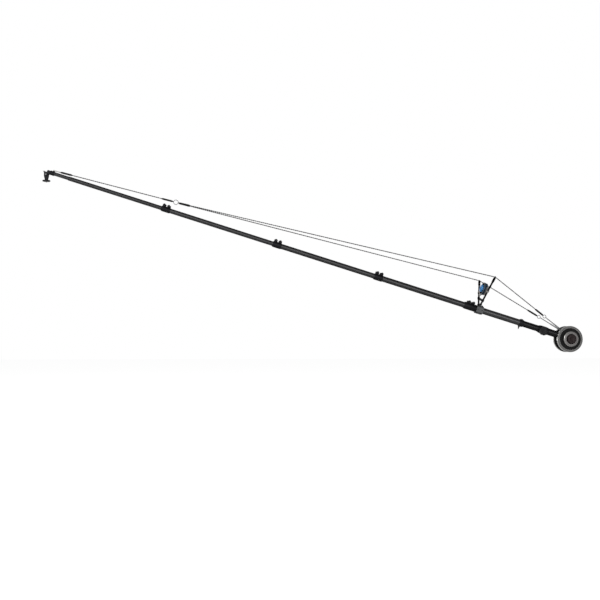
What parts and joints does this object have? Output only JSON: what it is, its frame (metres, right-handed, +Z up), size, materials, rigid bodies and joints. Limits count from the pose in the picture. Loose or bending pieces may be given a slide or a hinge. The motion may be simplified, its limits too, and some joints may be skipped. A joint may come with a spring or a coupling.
{
  "type": "telescoping camera jib arm",
  "caption": "Long telescoping camera jib arm with split clamps, V-shaped posts, wire stays, a hanging tip head and rear disc counterweights.",
  "frame": {"origin": "middle of the flat underside of the mount plate under the fulcrum block", "axes": "+Z up, -X towards the camera tip, +X towards the counterweights, -Y the side with the knobs; the arm is raised 17.2 degrees towards -X"},
  "size_m": [4.7919, 0.462, 1.5768],
  "materials": {
    "carbon": "satin woven carbon",
    "black_metal": "black anodised",
    "grey_metal": "satin machined",
    "tip_grey": "dark grey satin",
    "blue_metal": "blue anodised",
    "wire": "bright steel",
    "sleeve": "matt black",
    "iron": "satin dark grey paint",
    "knob": "matt black"
  },
  "bodies": {
    "fulcrum": {"base_tube": "carbon", "base_clamp": "black_metal", "fulcrum_block": "grey_metal", "mount_plate": "black_metal", "post_near": "black_metal", "post_far": "black_metal", "post_brace": "black_metal", "tension_plate": "grey_metal", "tension_ring": "grey_metal", "accessory_collar": "black_metal", "side_wire_near": "wire", "side_wire_far": "wire", "rear_wire_near": "wire", "rear_wire_far": "wire", "rear_shackle_near": "sleeve", "rear_shackle_far": "sleeve", "rear_bridle": "wire"},
    "section_4": {"section_4_tube": "carbon", "section_4_clamp": "black_metal"},
    "section_3": {"section_3_tube": "carbon", "section_3_clamp": "black_metal"},
    "section_2": {"section_2_tube": "carbon", "section_2_clamp": "black_metal", "splitter_ring": "wire", "front_sleeve_ring": "sleeve", "side_sleeve_near": "sleeve", "side_sleeve_far": "sleeve", "front_wire": "wire"},
    "section_1": {"section_1_tube": "carbon", "tip_tube": "tip_grey", "tip_cap": "black_metal", "tip_link": "wire", "front_sleeve_tip": "sleeve"},
    "tip_head": {"tip_head": "black_metal", "camera_stud": "wire", "tip_axle": "grey_metal"},
    "tip_lock_lever": {"tip_lock_lever": "knob"},
    "tail": {"tail_sleeve": "carbon", "tail_clamp": "black_metal", "stay_anchor": "black_metal", "weight_bar": "grey_metal", "disc_large_near": "iron", "disc_large_far": "iron", "disc_small_near": "iron", "disc_small_far": "iron"},
    "base_screw_front": {"base_screw_front": "knob"},
    "base_screw_rear": {"base_screw_rear": "knob"},
    "section_4_screw_front": {"section_4_screw_front": "knob"},
    "section_4_screw_rear": {"section_4_screw_rear": "knob"},
    "section_3_screw_front": {"section_3_screw_front": "knob"},
    "section_3_screw_rear": {"section_3_screw_rear": "knob"},
    "section_2_screw_front": {"section_2_screw_front": "knob"},
    "section_2_screw_rear": {"section_2_screw_rear": "knob"},
    "fulcrum_lock_screw": {"fulcrum_lock_screw": "knob"},
    "tension_knob": {"tension_knob": "blue_metal", "tension_hub": "blue_metal"},
    "tail_knob": {"tail_knob": "knob"},
    "weight_nut_near": {"weight_nut_near": "knob"},
    "weight_nut_far": {"weight_nut_far": "knob"},
    "collar_lever": {"collar_lever": "knob"}
  },
  "joints": [
    {"name": "section_4_slide", "type": "slide", "parent": "fulcrum", "child": "section_4", "axis": [0.9553, 0, -0.2957], "range_m": [0, 0.7], "deforming": ["side_wire_near", "side_wire_far"]},
    {"name": "section_3_slide", "type": "slide", "parent": "section_4", "child": "section_3", "axis": [0.9553, 0, -0.2957], "range_m": [0, 0.8]},
    {"name": "section_2_slide", "type": "slide", "parent": "section_3", "child": "section_2", "axis": [0.9553, 0, -0.2957], "range_m": [0, 0.85]},
    {"name": "section_1_slide", "type": "slide", "parent": "section_2", "child": "section_1", "axis": [0.9553, 0, -0.2957], "range_m": [0, 0.7], "deforming": ["front_wire"]},
    {"name": "tip_head_hinge", "type": "hinge", "parent": "section_1", "child": "tip_head", "pos_m": [-3.80632, 0, 1.18767], "axis": [0, 1, 0], "range_deg": [-25, 70]},
    {"name": "tip_lever_hinge", "type": "hinge", "parent": "tip_head", "child": "tip_lock_lever", "pos_m": [-3.80632, 0, 1.18767], "axis": [0, 1, 0], "range_deg": [-60, 0]},
    {"name": "tail_slide", "type": "slide", "parent": "fulcrum", "child": "tail", "axis": [0.9553, 0, -0.2957], "range_m": [-0.1, 0], "deforming": ["rear_wire_near", "rear_wire_far", "rear_shackle_near", "rear_shackle_far", "rear_bridle"]},
    {"name": "base_screw_front_turn", "type": "hinge", "parent": "fulcrum", "child": "base_screw_front", "pos_m": [-0.08216, 0, 0.10656], "axis": [0, 1, 0], "continuous": true},
    {"name": "base_screw_rear_turn", "type": "hinge", "parent": "fulcrum", "child": "base_screw_rear", "pos_m": [-0.04395, 0, 0.09473], "axis": [0, 1, 0], "continuous": true},
    {"name": "section_4_screw_front_turn", "type": "hinge", "parent": "section_4", "child": "section_4_screw_front", "pos_m": [-0.91495, 0, 0.36173], "axis": [0, 1, 0], "continuous": true},
    {"name": "section_4_screw_rear_turn", "type": "hinge", "parent": "section_4", "child": "section_4_screw_rear", "pos_m": [-0.87674, 0, 0.34991], "axis": [0, 1, 0], "continuous": true},
    {"name": "section_3_screw_front_turn", "type": "hinge", "parent": "section_3", "child": "section_3_screw_front", "pos_m": [-1.82034, 0, 0.63938], "axis": [0, 1, 0], "continuous": true},
    {"name": "section_3_screw_rear_turn", "type": "hinge", "parent": "section_3", "child": "section_3_screw_rear", "pos_m": [-1.78213, 0, 0.62755], "axis": [0, 1, 0], "continuous": true},
    {"name": "section_2_screw_front_turn", "type": "hinge", "parent": "section_2", "child": "section_2_screw_front", "pos_m": [-2.79451, 0, 0.93832], "axis": [0, 1, 0], "continuous": true},
    {"name": "section_2_screw_rear_turn", "type": "hinge", "parent": "section_2", "child": "section_2_screw_rear", "pos_m": [-2.7563, 0, 0.92649], "axis": [0, 1, 0], "continuous": true},
    {"name": "fulcrum_lock_screw_turn", "type": "hinge", "parent": "fulcrum", "child": "fulcrum_lock_screw", "pos_m": [0.04106, 0, 0.06162], "axis": [0.2957, 0, 0.9553], "continuous": true},
    {"name": "tension_knob_turn", "type": "hinge", "parent": "fulcrum", "child": "tension_knob", "pos_m": [0.06008, 0, 0.22112], "axis": [0.9553, 0, -0.2957], "continuous": true},
    {"name": "tail_knob_turn", "type": "hinge", "parent": "tail", "child": "tail_knob", "pos_m": [0.58606, 0, -0.15943], "axis": [0, 1, 0], "continuous": true},
    {"name": "weight_nut_near_turn", "type": "hinge", "parent": "tail", "child": "weight_nut_near", "pos_m": [0.8346, 0, -0.22904], "axis": [0, 1, 0], "continuous": true},
    {"name": "weight_nut_far_turn", "type": "hinge", "parent": "tail", "child": "weight_nut_far", "pos_m": [0.8346, 0, -0.22904], "axis": [0, 1, 0], "continuous": true},
    {"name": "collar_lever_hinge", "type": "hinge", "parent": "fulcrum", "child": "collar_lever", "pos_m": [0.37677, 0, -0.11862], "axis": [0, 1, 0], "range_deg": [-40, 40]}
  ],
  "couplings": [
    {"joint": "section_3_slide", "follows": "section_4_slide", "ratio": 1.1429},
    {"joint": "section_2_slide", "follows": "section_4_slide", "ratio": 1.2143}
  ]
}
